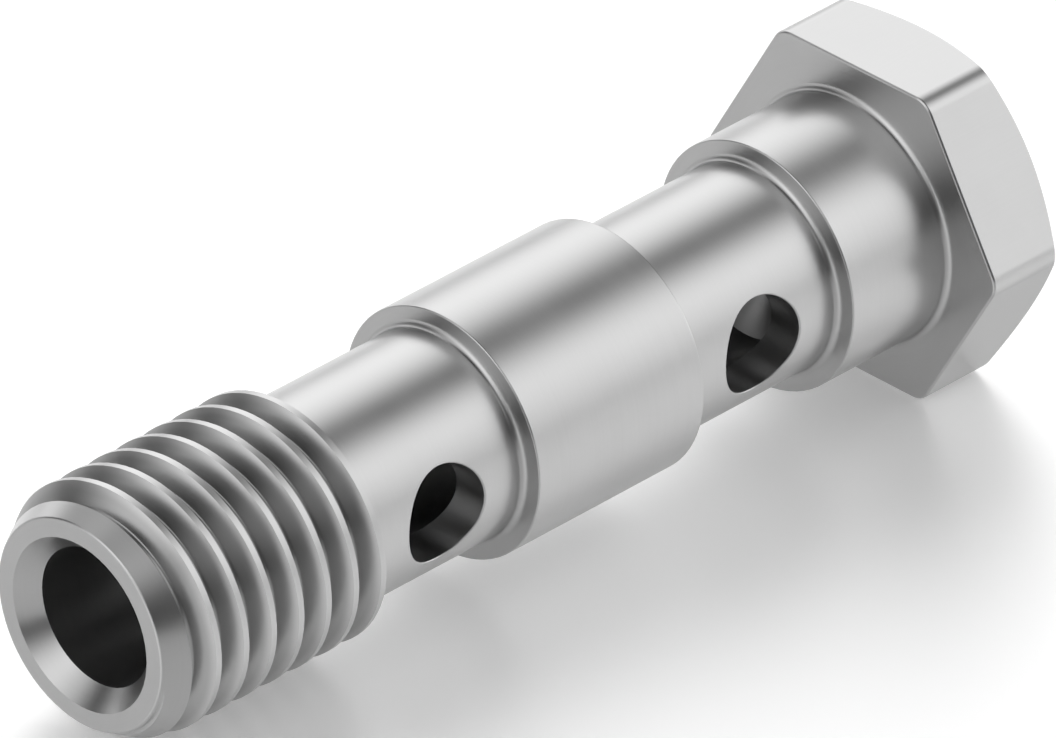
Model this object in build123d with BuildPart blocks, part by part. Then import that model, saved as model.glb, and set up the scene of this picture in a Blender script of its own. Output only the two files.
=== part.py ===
from build123d import *
from math import ceil, hypot, radians, tan
import os

os.makedirs("parts", exist_ok=True)

# A double banjo bolt, turned from one bar. It lies along X: the threaded end face is at x = 0 and the
# hexagon head is at the far end, with one flat down. Z is up. Sizes are in millimetres.

# Lengths along the axis, from the threaded end to the head
thread_length = 13.8
neck_length = 10.2
collar_length = 11.15
shoulder_length = 6.55
head_height = 5.1

# Diameters of the turned shank
thread_diameter = 13.16
neck_diameter = 11.0
collar_diameter = 13.1
shoulder_diameter = 13.1

# Thread: right-handed, with flat crests and a rounded root
thread_pitch = 1.81
thread_root_diameter = 11.1
thread_root_radius = 0.2
thread_crest_width = 0.34
thread_angle = 60.0
top_crest = 2.26

# Threaded end: the chamfer's angle is from the axis
end_face_diameter = 10.95
end_chamfer_angle = 30.0

# Blind bore, and the ports drilled across each neck
bore_diameter = 7.2
bore_depth = 44.7
drill_point_angle = 118.0
countersink_diameter = 9.0
countersink_angle = 82.0
port_diameter = 5.0

# Hexagon head: the chamfer's angle is from the end face
hexagon_sides = 6
across_flats = 17.0
hexagon_corner_radius = 1.2
head_chamfer_diameter = 16.2
head_chamfer_angle = 30.0

# Fillets at the foot of each step, and broken edges
step_fillet = 0.35
head_edge_radius = 0.14
end_edge_radius = 0.15
land_edge_radius = 0.08
port_edge_radius = 0.1

# Stations along the axis
collar_start = thread_length + neck_length
collar_end = collar_start + collar_length
shoulder_start = collar_end + neck_length
head_start = shoulder_start + shoulder_length
head_end = head_start + head_height
port_stations = [thread_length + neck_length / 2, collar_end + neck_length / 2]

# Radii
thread_radius = thread_diameter / 2
thread_root = thread_root_diameter / 2
neck_radius = neck_diameter / 2
collar_radius = collar_diameter / 2
shoulder_radius = shoulder_diameter / 2
end_face_radius = end_face_diameter / 2
bore_radius = bore_diameter / 2
countersink_radius = countersink_diameter / 2
head_chamfer_radius = head_chamfer_diameter / 2

# Lengths along the axis that follow from the cones' angles
end_chamfer_length = (thread_radius - end_face_radius) / tan(radians(end_chamfer_angle))
countersink_depth = (countersink_radius - bore_radius) / tan(radians(countersink_angle / 2))
drill_point_length = bore_radius / tan(radians(drill_point_angle / 2))
bar_radius = across_flats
bar_chamfer_length = (bar_radius - head_chamfer_radius) * tan(radians(head_chamfer_angle))

# The thread's groove: its outline stands a little proud of the crests, and it starts half a turn and
# groove_lead whole turns before the first crest, clear of the end face
groove_overshoot = 0.15
groove_lead = 2
flank_slope = tan(radians(thread_angle / 2))
groove_mouth = thread_pitch - thread_crest_width
groove_top = thread_radius + groove_overshoot
groove_half_top = groove_mouth / 2 + groove_overshoot * flank_slope
groove_half_root = groove_mouth / 2 - (thread_radius - thread_root) * flank_slope
groove_start = top_crest - (groove_lead + 0.5) * thread_pitch
groove_turns = ceil((thread_length + thread_pitch - groove_start) / thread_pitch)

# How near to its place an edge or a face is looked for
pick_tolerance = 0.001


def ring_edges(station, radius):
    """The circular edge of the given radius that goes round the axis at a station."""
    return (
        banjo_bolt.edges()
        .filter_by(GeomType.CIRCLE)
        .filter_by(lambda edge: abs(edge.radius - radius) < pick_tolerance)
        .filter_by(lambda edge: abs(edge.arc_center.X - station) < pick_tolerance)
    )


def port_rims(edges):
    """Of a port's edges, the rims in the neck's surface."""
    starts = [(edge, edge @ 0) for edge in edges]
    return [edge for edge, start in starts if abs(hypot(start.Y, start.Z) - neck_radius) < pick_tolerance]


with BuildPart() as banjo_bolt:
    # The turned shank: threaded end, neck, collar, neck and shoulder
    with BuildSketch(Plane.XY):
        with BuildLine():
            Polyline(
                (0, 0),
                (0, end_face_radius),
                (end_chamfer_length, thread_radius),
                (thread_length, thread_radius),
                (thread_length, neck_radius),
                (collar_start, neck_radius),
                (collar_start, collar_radius),
                (collar_end, collar_radius),
                (collar_end, neck_radius),
                (shoulder_start, neck_radius),
                (shoulder_start, shoulder_radius),
                (head_start, shoulder_radius),
                (head_start, 0),
                close=True,
            )
        make_face()
    revolve(axis=Axis.X)

    # The hexagon, with flats above and below, and the chamfer turned on its far corners
    with BuildSketch(Plane(origin=(head_start, 0, 0), x_dir=(0, 1, 0), z_dir=(1, 0, 0))):
        hexagon = RegularPolygon(across_flats / 2, hexagon_sides, major_radius=False)
        fillet(hexagon.vertices(), hexagon_corner_radius)
    extrude(amount=head_height)
    with BuildSketch(Plane.XY):
        with BuildLine():
            Polyline(
                (head_end, head_chamfer_radius),
                (head_end - bar_chamfer_length, bar_radius),
                (head_end, bar_radius),
                close=True,
            )
        make_face()
    revolve(axis=Axis.X, mode=Mode.SUBTRACT)

    # The blind bore, with its drill point and its countersunk mouth
    with BuildSketch(Plane.XY):
        with BuildLine():
            Polyline(
                (0, 0),
                (0, countersink_radius),
                (countersink_depth, bore_radius),
                (bore_depth, bore_radius),
                (bore_depth + drill_point_length, 0),
                close=True,
            )
        make_face()
    revolve(axis=Axis.X, mode=Mode.SUBTRACT)

    # The ports, drilled right across each neck
    with BuildSketch(Plane.XZ):
        with Locations(*[(station, 0) for station in port_stations]):
            Circle(port_diameter / 2)
    extrude(amount=neck_diameter, both=True, mode=Mode.SUBTRACT)
    fillet(port_rims(banjo_bolt.edges(Select.LAST)), port_edge_radius)

    # Fillets at the foot of the collar, the shoulder and the head
    fillet(ring_edges(collar_start, neck_radius), step_fillet)
    fillet(ring_edges(shoulder_start, neck_radius), step_fillet)
    fillet(ring_edges(head_start, shoulder_radius), step_fillet)

    # Broken edges of the hexagon's underside, the turned lands and the end face
    flat_faces = banjo_bolt.faces().filter_by(GeomType.PLANE)
    underside = flat_faces.filter_by(lambda face: abs(face.center().X - head_start) < pick_tolerance)[0]
    fillet(underside.outer_wire().edges(), head_edge_radius)
    fillet(ring_edges(0, end_face_radius), end_edge_radius)
    fillet(ring_edges(collar_start, collar_radius), land_edge_radius)
    fillet(ring_edges(collar_end, collar_radius), land_edge_radius)
    fillet(ring_edges(shoulder_start, shoulder_radius), land_edge_radius)

    # The thread's groove, cut one turn after another from beyond the end face to beyond the thread's end
    for turn in range(groove_turns):
        turn_start = groove_start + turn * thread_pitch
        with BuildLine(Plane.XY):
            Helix(thread_pitch, thread_pitch, thread_radius, center=(turn_start, 0, 0), direction=(1, 0, 0))
        with BuildSketch(Plane.XZ) as groove:
            with Locations((turn_start, 0)):
                Polygon(
                    (-groove_half_top, groove_top),
                    (-groove_half_root, thread_root),
                    (groove_half_root, thread_root),
                    (groove_half_top, groove_top),
                    align=None,
                )
            fillet(groove.vertices().sort_by(Axis.Y)[:2], thread_root_radius)
        sweep(is_frenet=True, mode=Mode.SUBTRACT)

banjo_bolt.part.label = "banjo_bolt"
export_step(banjo_bolt.part, "parts/banjo_bolt.step")
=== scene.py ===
"""The looks of a banjo bolt: satin turned steel on a pale floor, under soft studio light."""

import math

import bpy
import numpy as np
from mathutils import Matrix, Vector


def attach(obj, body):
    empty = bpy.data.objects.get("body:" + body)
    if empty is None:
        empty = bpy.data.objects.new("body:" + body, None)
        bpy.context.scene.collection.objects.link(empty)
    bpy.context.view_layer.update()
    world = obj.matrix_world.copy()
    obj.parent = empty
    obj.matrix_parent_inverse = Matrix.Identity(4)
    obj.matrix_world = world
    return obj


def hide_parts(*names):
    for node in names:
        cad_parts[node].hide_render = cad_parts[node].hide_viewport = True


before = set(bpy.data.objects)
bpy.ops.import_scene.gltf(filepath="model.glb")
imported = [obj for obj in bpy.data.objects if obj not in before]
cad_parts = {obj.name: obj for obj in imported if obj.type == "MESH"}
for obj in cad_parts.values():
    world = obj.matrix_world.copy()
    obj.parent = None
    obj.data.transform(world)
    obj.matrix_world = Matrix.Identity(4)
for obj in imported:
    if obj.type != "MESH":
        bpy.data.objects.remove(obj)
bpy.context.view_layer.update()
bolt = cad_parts["banjo_bolt"]

# The camera looks down on the threaded end. Lengths are in metres, angles in degrees.
IMAGE_WIDTH_PX = 1056
FOCAL_LENGTH_PX = 21760
SENSOR_WIDTH_MM = 36
CAMERA_AZIMUTH = -45.14
CAMERA_ELEVATION = 31.91
CAMERA_DISTANCE = 1.0425
CAMERA_TARGET = Vector((0.03275, 0.00293, -0.00157))
CAMERA_CLIP_START = 0.01
CAMERA_CLIP_END = 10

# The bolt's sizes, which its surfaces' normals are worked out from
MM = 0.001
THREAD_LENGTH = 13.8 * MM
NECK_LENGTH = 10.2 * MM
COLLAR_LENGTH = 11.15 * MM
SHOULDER_LENGTH = 6.55 * MM
HEAD_HEIGHT = 5.1 * MM
THREAD_RADIUS = 6.58 * MM
NECK_RADIUS = 5.5 * MM
LAND_RADIUS = 6.55 * MM
THREAD_PITCH = 1.81 * MM
THREAD_ROOT = 5.55 * MM
THREAD_ROOT_FILLET = 0.2 * MM
THREAD_CREST_WIDTH = 0.34 * MM
THREAD_FLANK_ANGLE = math.radians(30)
TOP_CREST = 2.26 * MM
END_FACE_RADIUS = 5.475 * MM
END_CHAMFER_ANGLE = math.radians(30)
BORE_RADIUS = 3.6 * MM
BORE_DEPTH = 44.7 * MM
DRILL_POINT_ANGLE = math.radians(118)
COUNTERSINK_RADIUS = 4.5 * MM
COUNTERSINK_ANGLE = math.radians(82)
PORT_RADIUS = 2.5 * MM
HALF_FLATS = 8.5 * MM
CORNER_RADIUS = 1.2 * MM
HEAD_CHAMFER_RADIUS = 8.1 * MM
HEAD_CHAMFER_ANGLE = math.radians(30)
STEP_FILLET = 0.35 * MM
HEAD_EDGE_RADIUS = 0.14 * MM
END_EDGE_RADIUS = 0.15 * MM
LAND_EDGE_RADIUS = 0.08 * MM
PORT_EDGE_RADIUS = 0.1 * MM

# Stations along the axis
COLLAR_START = THREAD_LENGTH + NECK_LENGTH
COLLAR_END = COLLAR_START + COLLAR_LENGTH
SHOULDER_START = COLLAR_END + NECK_LENGTH
HEAD_START = SHOULDER_START + SHOULDER_LENGTH
HEAD_END = HEAD_START + HEAD_HEIGHT
PORT_STATIONS = (THREAD_LENGTH + NECK_LENGTH / 2, COLLAR_END + NECK_LENGTH / 2)

# In the search for the surface that a facet lies on, this far off a surface is as bad a match as facing at
# right angles to it. Nothing is divided by a length that is less than TINY.
FACET_SLACK = 0.02 * MM
TINY = 1e-9

# How much further than this from the head a point counts as part of the shank
HEAD_ROOM = 10 * MM

# The steel: its colour and roughness, how much the tool's lay and the wear change them, how much darker
# and rougher it is inside the bore, and how much darker in the thread's groove. Both darkenings are
# painted shade. Such a change comes in over its fade's length, and ends a margin short of the next surface.
STEEL_COLOUR = 0.5
STEEL_ROUGHNESS = 0.3
LAY_SCALE = 6000
LAY_DETAIL = 3
LAY_COLOUR = 0.03
LAY_ROUGHNESS = 0.06
LAY_HEIGHT = 0.0001 * MM
WEAR_SCALE = 300
WEAR_DETAIL = 4
WEAR_COLOUR = 0.06
WEAR_ROUGHNESS = 0.08
INSIDE_START = 1.1 * MM
INSIDE_FADE = 0.15 * MM
INSIDE_PAINTED_SHADE = 0.85
INSIDE_ROUGHNESS = 0.34
GROOVE_PAINTED_SHADE = 0.76
GROOVE_FADE = 0.4 * MM
MASK_MARGIN = 0.01 * MM

# The studio: the even light from all round, then the softboxes that add to it. Each has its centre's
# azimuth and elevation, the angles off its centre where it starts to fade and is gone, and its strength.
# Azimuth 0 is along +X and 90 along +Y.
STUDIO_LEVEL = 0.04
STUDIO_LIGHTS = [
    (-30, 8, 0, 38, 2.85),
    (-30, 42, 0, 30, 0.9),
    (58, 30, 5, 45, 1.85),
    (28, 52, 0, 26, 0.55),
    (90, 8, 0, 30, 0.95),
    (165, 15, 8, 40, 1.25),
    (160, 50, 5, 35, 0.8),
    (-62, 42, 4, 36, 0.85),
    (110, 58, 4, 28, 0.5),
    (-156, 42, 0, 38, 1.35),
]

# The floor: satin white paper. Its sheen is the share of its light that it reflects, and its glow is what
# makes the background white.
FLOOR_RADIUS = 1.2
FLOOR_SIDES = 96
FLOOR_COLOUR = 0.86
FLOOR_GLOW = 0.26
FLOOR_SHEEN = 0.8
FLOOR_ROUGHNESS = 0.5


def direction(azimuth, elevation):
    """The unit vector that points to an azimuth from +X and an elevation, in degrees."""
    a, e = math.radians(azimuth), math.radians(elevation)
    return Vector((math.cos(a) * math.cos(e), math.sin(a) * math.cos(e), math.sin(e)))


def feed(tree, sockets, values):
    """Gives each of a node's sockets its value, which is a number or another node's output."""
    for socket, value in zip(sockets, values):
        if isinstance(value, bpy.types.NodeSocket):
            tree.links.new(value, socket)
        else:
            socket.default_value = value


def math_node(tree, operation, *values):
    """The result of a sum or another operation on outputs or numbers."""
    node = tree.nodes.new("ShaderNodeMath")
    node.operation = operation
    feed(tree, node.inputs, values)
    return node.outputs[0]


def combine(tree, x, y, z):
    """The vector, or the colour, of three outputs or numbers."""
    node = tree.nodes.new("ShaderNodeCombineXYZ")
    feed(tree, node.inputs, (x, y, z))
    return node.outputs[0]


def blend(tree, factor, low, high):
    """The value low where factor is 0, and high where it is 1."""
    node = tree.nodes.new("ShaderNodeMix")
    feed(tree, [node.inputs[name] for name in ("Factor", "A", "B")], (factor, low, high))
    return node.outputs["Result"]


def ramp(tree, value, low, high, low_result=0.0, high_result=1.0):
    """A value that goes smoothly from low_result at low to high_result at high."""
    node = tree.nodes.new("ShaderNodeMapRange")
    node.interpolation_type = "SMOOTHSTEP"
    names = ("Value", "From Min", "From Max", "To Min", "To Max")
    feed(tree, [node.inputs[name] for name in names], (value, low, high, low_result, high_result))
    return node.outputs["Result"]


def noise(tree, place, scale, detail):
    """Noise between about -0.5 and 0.5, with its features 1 / scale apart."""
    node = tree.nodes.new("ShaderNodeTexNoise")
    feed(tree, [node.inputs[name] for name in ("Vector", "Scale", "Detail")], (place, scale, detail))
    return math_node(tree, "SUBTRACT", node.outputs["Fac"], 0.5)


def build_camera():
    """The camera, at the photo's angle and distance."""
    data = bpy.data.cameras.new("camera")
    data.sensor_width = SENSOR_WIDTH_MM
    data.lens = FOCAL_LENGTH_PX / IMAGE_WIDTH_PX * SENSOR_WIDTH_MM
    data.clip_start = CAMERA_CLIP_START
    data.clip_end = CAMERA_CLIP_END
    camera = bpy.data.objects.new("camera", data)
    back = direction(CAMERA_AZIMUTH - 90, CAMERA_ELEVATION)
    camera.location = CAMERA_TARGET + CAMERA_DISTANCE * back
    camera.rotation_euler = back.to_track_quat("Z", "Y").to_euler()
    bpy.context.scene.collection.objects.link(camera)
    bpy.context.scene.camera = camera


def build_studio():
    """The world: soft light whose level depends on the direction it comes from."""
    world = bpy.data.worlds.new("studio")
    bpy.context.scene.world = world
    world.use_nodes = True
    tree = world.node_tree
    tree.nodes.clear()
    where = tree.nodes.new("ShaderNodeTexCoord").outputs["Generated"]
    level = STUDIO_LEVEL
    for azimuth, elevation, inner, outer, strength in STUDIO_LIGHTS:
        dot = tree.nodes.new("ShaderNodeVectorMath")
        dot.operation = "DOT_PRODUCT"
        tree.links.new(where, dot.inputs[0])
        dot.inputs[1].default_value = direction(azimuth, elevation)
        angle = math_node(tree, "ARCCOSINE", dot.outputs["Value"])
        softbox = ramp(tree, angle, math.radians(inner), math.radians(outer), strength, 0.0)
        level = math_node(tree, "ADD", softbox, level)
    background = tree.nodes.new("ShaderNodeBackground")
    background.inputs["Color"].default_value = (1, 1, 1, 1)
    tree.links.new(level, background.inputs["Strength"])
    output = tree.nodes.new("ShaderNodeOutputWorld")
    tree.links.new(background.outputs[0], output.inputs["Surface"])


def resting_line(node):
    """The x and z where the floor touches the head, and how much it rises for each metre towards -X."""
    corners = np.array([vertex.co for vertex in node.data.vertices])
    head = corners[corners[:, 2].argmin()]
    shank = corners[corners[:, 0] < head[0] - HEAD_ROOM]
    rise = (shank[:, 2] - head[2]) / (head[0] - shank[:, 0])
    return head[0], head[2], rise.min()


def build_paper():
    """Satin white paper, with a glow that only camera, glossy and transmission rays see."""
    material = bpy.data.materials.new("floor_paper")
    material.use_nodes = True
    tree = material.node_tree
    tree.nodes.clear()
    colour = (FLOOR_COLOUR, FLOOR_COLOUR, FLOOR_COLOUR, 1)
    diffuse = tree.nodes.new("ShaderNodeBsdfDiffuse")
    diffuse.inputs["Color"].default_value = colour
    sheen = tree.nodes.new("ShaderNodeBsdfAnisotropic")
    sheen.inputs["Color"].default_value = colour
    sheen.inputs["Roughness"].default_value = FLOOR_ROUGHNESS
    paper = tree.nodes.new("ShaderNodeMixShader")
    paper.inputs["Fac"].default_value = FLOOR_SHEEN
    tree.links.new(diffuse.outputs[0], paper.inputs[1])
    tree.links.new(sheen.outputs[0], paper.inputs[2])
    path = tree.nodes.new("ShaderNodeLightPath")
    seen = math_node(tree, "MAXIMUM", path.outputs["Is Camera Ray"], path.outputs["Is Glossy Ray"])
    seen = math_node(tree, "MAXIMUM", seen, path.outputs["Is Transmission Ray"])
    glow = tree.nodes.new("ShaderNodeEmission")
    tree.links.new(math_node(tree, "MULTIPLY", seen, FLOOR_GLOW), glow.inputs["Strength"])
    both = tree.nodes.new("ShaderNodeAddShader")
    tree.links.new(paper.outputs[0], both.inputs[0])
    tree.links.new(glow.outputs[0], both.inputs[1])
    output = tree.nodes.new("ShaderNodeOutputMaterial")
    tree.links.new(both.outputs[0], output.inputs["Surface"])
    return material


def build_floor():
    """The floor, which touches the head and the thread."""
    head_x, head_z, rise = resting_line(bolt)
    bpy.ops.mesh.primitive_circle_add(vertices=FLOOR_SIDES, radius=FLOOR_RADIUS, fill_type="NGON")
    floor = bpy.context.object
    floor.name = "floor"
    floor.location = (head_x, 0, head_z)
    floor.rotation_euler = (0, math.atan(rise), 0)
    floor.data.materials.append(build_paper())


def turned_surfaces():
    """The turned surfaces, from the bore's drill point round by the mouth and along the shank to the head's
    end. Each is a function that takes x and radius and gives the distance off the surface and the normal's
    two parts, along the axis and away from it."""
    bar_radius = 2 * HALF_FLATS
    end_chamfer_length = (THREAD_RADIUS - END_FACE_RADIUS) / math.tan(END_CHAMFER_ANGLE)
    countersink_depth = (COUNTERSINK_RADIUS - BORE_RADIUS) / math.tan(COUNTERSINK_ANGLE / 2)
    bar_chamfer_length = (bar_radius - HEAD_CHAMFER_RADIUS) * math.tan(HEAD_CHAMFER_ANGLE)
    corners = [
        (BORE_DEPTH + BORE_RADIUS / math.tan(DRILL_POINT_ANGLE / 2), 0, 0),
        (BORE_DEPTH, BORE_RADIUS, 0),
        (countersink_depth, BORE_RADIUS, 0),
        (0, COUNTERSINK_RADIUS, 0),
        (0, END_FACE_RADIUS, END_EDGE_RADIUS),
        (end_chamfer_length, THREAD_RADIUS, 0),
        (THREAD_LENGTH, THREAD_RADIUS, 0),
        (THREAD_LENGTH, NECK_RADIUS, 0),
        (COLLAR_START, NECK_RADIUS, STEP_FILLET),
        (COLLAR_START, LAND_RADIUS, LAND_EDGE_RADIUS),
        (COLLAR_END, LAND_RADIUS, LAND_EDGE_RADIUS),
        (COLLAR_END, NECK_RADIUS, 0),
        (SHOULDER_START, NECK_RADIUS, STEP_FILLET),
        (SHOULDER_START, LAND_RADIUS, LAND_EDGE_RADIUS),
        (HEAD_START, LAND_RADIUS, STEP_FILLET),
        (HEAD_START, bar_radius, 0),
        (HEAD_END - bar_chamfer_length, bar_radius, 0),
        (HEAD_END, HEAD_CHAMFER_RADIUS, 0),
        (HEAD_END, 0, 0),
    ]
    surfaces = []
    for (x0, r0, _), (x1, r1, _) in zip(corners, corners[1:]):
        surfaces.append(flat_flank(x0, r0, x1, r1))
    for before, (x, r, rounding), after in zip(corners, corners[1:], corners[2:]):
        if rounding:
            surfaces.append(rounded_corner(before, x, r, rounding, after))
    return surfaces


def flat_flank(x0, r0, x1, r1):
    """The cone, cylinder or flat face between two corners, with the metal on its right."""
    length = math.hypot(x1 - x0, r1 - r0)
    nx, nr = (r0 - r1) / length, (x1 - x0) / length
    low_x, high_x, low_r, high_r = min(x0, x1), max(x0, x1), min(r0, r1), max(r0, r1)

    def surface(x, r):
        past = np.hypot(x - np.clip(x, low_x, high_x), r - np.clip(r, low_r, high_r))
        return np.abs((x - x0) * nx + (r - r0) * nr) + past, nx + 0 * x, nr + 0 * x

    return surface


def rounded_corner(before, x, r, rounding, after):
    """The rounding of the corner at x and r, between the sides that come from before and go to after."""
    corner = np.array([x, r])
    arriving = corner - np.array(before[:2])
    arriving = arriving / np.linalg.norm(arriving)
    leaving = np.array(after[:2]) - corner
    leaving = leaving / np.linalg.norm(leaving)
    turn = arriving[0] * leaving[1] - arriving[1] * leaving[0]
    inward = leaving - arriving
    half = math.acos(arriving @ leaving) / 2
    centre = corner + inward / np.linalg.norm(inward) * rounding / math.cos(half)
    outside = -1 if turn > 0 else 1
    reach = rounding * math.tan(half)

    def surface(px, pr):
        dx, dr = px - centre[0], pr - centre[1]
        distance = np.hypot(dx, dr)
        past = np.maximum(np.hypot(px - x, pr - r) - reach, 0)
        safe = np.maximum(distance, TINY)
        return np.abs(distance - rounding) + past, outside * dx / safe, outside * dr / safe

    return surface


def turned_candidates(points):
    """For each turned surface, how far off it each point is and the normal there."""
    x, y, z = np.moveaxis(points, -1, 0)
    radius = np.maximum(np.hypot(y, z), TINY)
    for surface in turned_surfaces():
        off, nx, nr = surface(x, radius)
        yield off, np.stack([nx, nr * y / radius, nr * z / radius], -1)


def groove_candidate(points):
    """The thread's groove: two flanks, a rounded root and a flat between them, wound along the axis."""
    x, y, z = np.moveaxis(points, -1, 0)
    radius = np.maximum(np.hypot(y, z), TINY)
    lead = THREAD_PITCH / (2 * math.pi)
    crest = TOP_CREST + lead * (np.arctan2(z, y) - math.pi / 2)
    across = (x - crest) % THREAD_PITCH - THREAD_PITCH / 2
    steep = 1 / math.tan(THREAD_FLANK_ANGLE)
    half_mouth = (THREAD_PITCH - THREAD_CREST_WIDTH) / 2
    arc = math.pi / 2 - THREAD_FLANK_ANGLE
    sharp_corner = half_mouth - (THREAD_RADIUS - THREAD_ROOT) / steep
    arc_start = sharp_corner - THREAD_ROOT_FILLET * math.tan(arc / 2)
    sine = np.clip((np.abs(across) - arc_start) / THREAD_ROOT_FILLET, 0, math.sin(arc))
    turn = np.arcsin(sine)
    flank = THREAD_RADIUS + steep * (np.abs(across) - half_mouth)
    rounded = THREAD_ROOT + THREAD_ROOT_FILLET * (1 - np.cos(turn))
    surface_radius = np.where(sine < math.sin(arc), rounded, flank)
    past = np.maximum(x - THREAD_LENGTH, 0) + np.maximum(radius - THREAD_RADIUS, 0)
    rise = np.tan(turn) * np.sign(across)
    twist = rise * lead / radius
    normals = np.stack([-rise, (y - twist * z) / radius, (z + twist * y) / radius], -1)
    return np.abs(radius - surface_radius) * np.cos(turn) + past, normals


def hexagon_candidate(points):
    """The hexagon's sides with their rounded corners, and the rounded edge of its underside."""
    x, place = points[..., 0], points[..., 1:]
    turn = np.arctan2(place[..., 1], place[..., 0])
    sixth = math.pi / 3
    middle = (np.floor(turn / sixth) + 0.5) * sixth
    corner = np.round(turn / sixth) * sixth
    side = np.stack([np.cos(middle), np.sin(middle)], -1)
    centre_distance = (HALF_FLATS - CORNER_RADIUS) / math.cos(sixth / 2)
    spoke = place - centre_distance * np.stack([np.cos(corner), np.sin(corner)], -1)
    swing = np.arctan2(spoke[..., 1], spoke[..., 0]) - corner
    on_corner = np.abs((swing + math.pi) % (2 * math.pi) - math.pi) < sixth / 2
    spoke_length = np.linalg.norm(spoke, axis=-1)
    depth = np.where(on_corner, CORNER_RADIUS - spoke_length, HALF_FLATS - (place * side).sum(-1))
    out = np.where(on_corner[..., None], spoke / np.maximum(spoke_length, TINY)[..., None], side)
    under = np.clip(HEAD_START + HEAD_EDGE_RADIUS - x, 0, HEAD_EDGE_RADIUS)
    beside = np.clip(HEAD_EDGE_RADIUS - depth, 0, None)
    off = np.where(under > 0, np.hypot(under, beside) - HEAD_EDGE_RADIUS, depth)
    off = np.abs(off) + np.maximum(HEAD_START - x, 0) + np.maximum(depth - HEAD_EDGE_RADIUS, 0)
    beside = np.where(under > 0, beside, HEAD_EDGE_RADIUS)
    return off, np.concatenate([-under[..., None], beside[..., None] * out], -1)


def port_candidates(points):
    """The ports' walls, and their rounded rims in the necks."""
    x, y, z = np.moveaxis(points, -1, 0)
    radius = np.maximum(np.hypot(y, z), TINY)
    outward = np.stack([0 * x, y / radius, z / radius], -1)
    for station in PORT_STATIONS:
        reach = np.maximum(np.hypot(x - station, z), TINY)
        inward = np.stack([(station - x) / reach, 0 * x, -z / reach], -1)
        past = np.maximum(radius - NECK_RADIUS, 0)
        yield np.abs(reach - PORT_RADIUS) + past, inward
        to_wall = PORT_RADIUS + PORT_EDGE_RADIUS - reach
        to_neck = radius - NECK_RADIUS + PORT_EDGE_RADIUS
        past = np.maximum(-to_wall, 0) + np.maximum(-to_neck, 0)
        normal = np.maximum(to_wall, 0)[..., None] * inward + np.maximum(to_neck, 0)[..., None] * outward
        yield np.abs(np.hypot(to_wall, to_neck) - PORT_EDGE_RADIUS) + past, normal


def surface_normals(corners, facing):
    """The normals at each facet's corners, of the surface that the facet fits best: the one that it is
    nearest to and faces the same way as."""
    candidates = [*turned_candidates(corners), *port_candidates(corners)]
    candidates += [groove_candidate(corners), hexagon_candidate(corners)]
    best_cost = np.full(len(corners), np.inf)
    best_normals = np.zeros_like(corners)
    for off, normals in candidates:
        normals = normals / np.maximum(np.linalg.norm(normals, axis=-1, keepdims=True), TINY)
        agreement = (normals.mean(axis=1) * facing).sum(-1)
        cost = off.max(axis=1) / FACET_SLACK + 1 - agreement
        better = cost < best_cost
        best_cost[better] = cost[better]
        best_normals[better] = normals[better]
    return best_normals


def build_bolt():
    """The bolt, in the CAD solid's own shape, with normals that let reflections run smoothly over it."""
    mesh = bolt.data.copy()
    mesh.name = "turned_bolt"
    places = np.array([vertex.co for vertex in mesh.vertices])
    corners = places[[list(face.vertices) for face in mesh.polygons]]
    facing = np.array([face.normal for face in mesh.polygons])
    for face in mesh.polygons:
        face.use_smooth = True
    mesh.normals_split_custom_set(surface_normals(corners, facing).reshape(-1, 3).tolist())
    mesh.materials.clear()
    mesh.materials.append(build_steel())
    piece = bpy.data.objects.new("turned_bolt", mesh)
    bpy.context.scene.collection.objects.link(piece)
    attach(piece, "root")
    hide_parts("banjo_bolt")


def tool_lay(tree, x, y, z, radius):
    """The tool's lay, from -0.5 to 0.5: rings round the axis, and lines along it on the hexagon's sides."""
    past_seat = ramp(tree, x, HEAD_START, HEAD_START + HEAD_EDGE_RADIUS)
    past_chamfer = ramp(tree, radius, HEAD_CHAMFER_RADIUS, HALF_FLATS)
    on_sides = math_node(tree, "MULTIPLY", past_seat, past_chamfer)
    rings = noise(tree, combine(tree, x, radius, 0.0), LAY_SCALE, LAY_DETAIL)
    lines = noise(tree, combine(tree, y, z, 0.0), LAY_SCALE, LAY_DETAIL)
    return blend(tree, on_sides, rings, lines)


def inside_mask(tree, x, radius):
    """1 in the bore and the ports, and 0 outside them, at the countersink and in the head."""
    # The mask carries painted shade, and also the rougher finish, into the bore and the ports.
    past_countersink = ramp(tree, x, INSIDE_START, INSIDE_START + INSIDE_FADE)
    before_head = math_node(tree, "LESS_THAN", x, HEAD_START)
    near_axis = ramp(tree, radius, NECK_RADIUS - INSIDE_FADE, NECK_RADIUS, 1.0, 0.0)
    mask = math_node(tree, "MULTIPLY", past_countersink, before_head)
    return math_node(tree, "MULTIPLY", mask, near_axis)


def groove_shade_mask(tree, x, radius):
    """1 in the thread's groove, going to 0 at its crests, and 0 everywhere else. It places painted shade.
    """
    cone = math_node(tree, "MULTIPLY_ADD", x, math.tan(END_CHAMFER_ANGLE), END_FACE_RADIUS)
    depth = math_node(tree, "SUBTRACT", math_node(tree, "MINIMUM", cone, THREAD_RADIUS), radius)
    mask = ramp(tree, depth, 0.0, GROOVE_FADE)
    past_neck = math_node(tree, "GREATER_THAN", radius, NECK_RADIUS + MASK_MARGIN)
    before_end = math_node(tree, "LESS_THAN", x, THREAD_LENGTH - MASK_MARGIN)
    mask = math_node(tree, "MULTIPLY", mask, past_neck)
    return math_node(tree, "MULTIPLY", mask, before_end)


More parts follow.
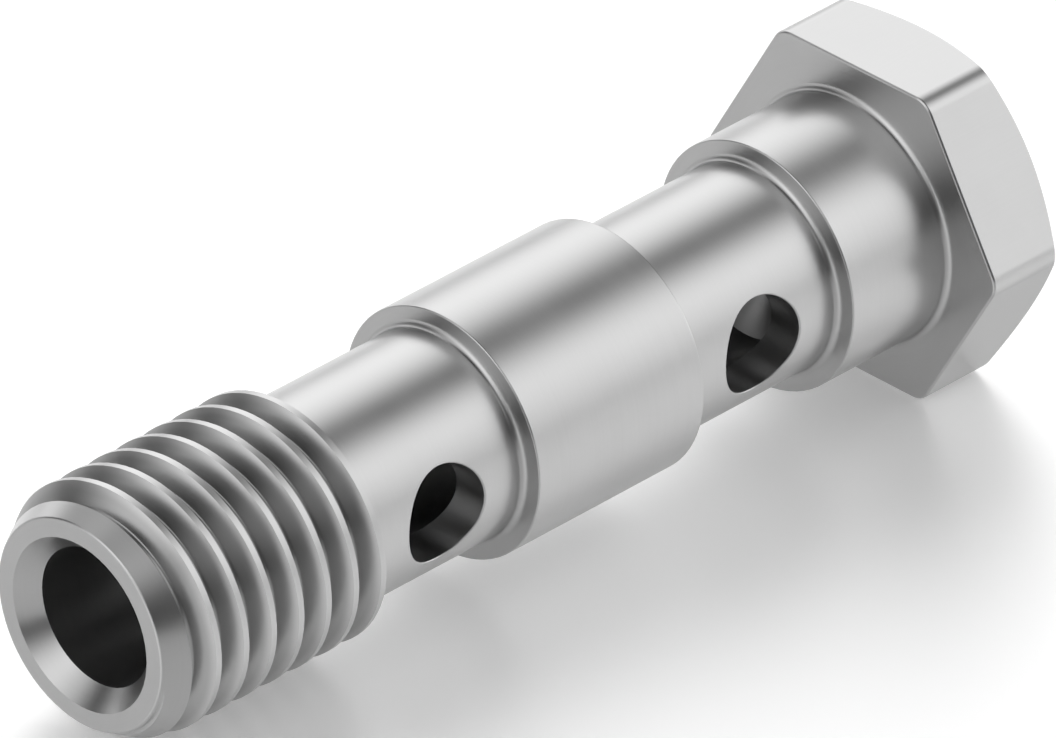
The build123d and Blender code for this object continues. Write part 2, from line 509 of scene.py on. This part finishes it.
def painted_shade(tree, level, mask, shade):
    """The level, multiplied by shade where the mask is 1: painted shade on the steel."""
    return math_node(tree, "MULTIPLY", level, math_node(tree, "MULTIPLY_ADD", mask, shade - 1, 1.0))


def build_steel():
    """Satin turned steel, with painted shade that darkens the bore, the ports and the thread's groove."""
    material = bpy.data.materials.new("turned_steel")
    material.use_nodes = True
    tree = material.node_tree
    place = tree.nodes.new("ShaderNodeTexCoord").outputs["Object"]
    parts = tree.nodes.new("ShaderNodeSeparateXYZ")
    tree.links.new(place, parts.inputs[0])
    x, y, z = parts.outputs
    squares = math_node(tree, "MULTIPLY_ADD", y, y, math_node(tree, "MULTIPLY", z, z))
    radius = math_node(tree, "SQRT", squares)
    lay = tool_lay(tree, x, y, z, radius)
    wear = noise(tree, place, WEAR_SCALE, WEAR_DETAIL)
    inside = inside_mask(tree, x, radius)

    level = math_node(tree, "MULTIPLY_ADD", lay, LAY_COLOUR, STEEL_COLOUR)
    level = math_node(tree, "MULTIPLY_ADD", wear, WEAR_COLOUR, level)
    # Painted shade: the steel is darker in the bore and the ports.
    level = painted_shade(tree, level, inside, INSIDE_PAINTED_SHADE)
    # Painted shade: the steel is darker in the thread's groove.
    level = painted_shade(tree, level, groove_shade_mask(tree, x, radius), GROOVE_PAINTED_SHADE)
    roughness = math_node(tree, "MULTIPLY_ADD", lay, LAY_ROUGHNESS, STEEL_ROUGHNESS)
    roughness = math_node(tree, "MULTIPLY_ADD", wear, WEAR_ROUGHNESS, roughness)
    roughness = math_node(tree, "MULTIPLY_ADD", inside, INSIDE_ROUGHNESS - STEEL_ROUGHNESS, roughness)
    bump = tree.nodes.new("ShaderNodeBump")
    bump.inputs["Distance"].default_value = LAY_HEIGHT
    tree.links.new(lay, bump.inputs["Height"])

    shader = tree.nodes["Principled BSDF"]
    tree.links.new(combine(tree, level, level, level), shader.inputs["Base Color"])
    shader.inputs["Metallic"].default_value = 1
    tree.links.new(roughness, shader.inputs["Roughness"])
    tree.links.new(bump.outputs["Normal"], shader.inputs["Normal"])
    return material


build_camera()
build_studio()
build_floor()
build_bolt()

bpy.context.scene.view_settings.view_transform = "Standard"
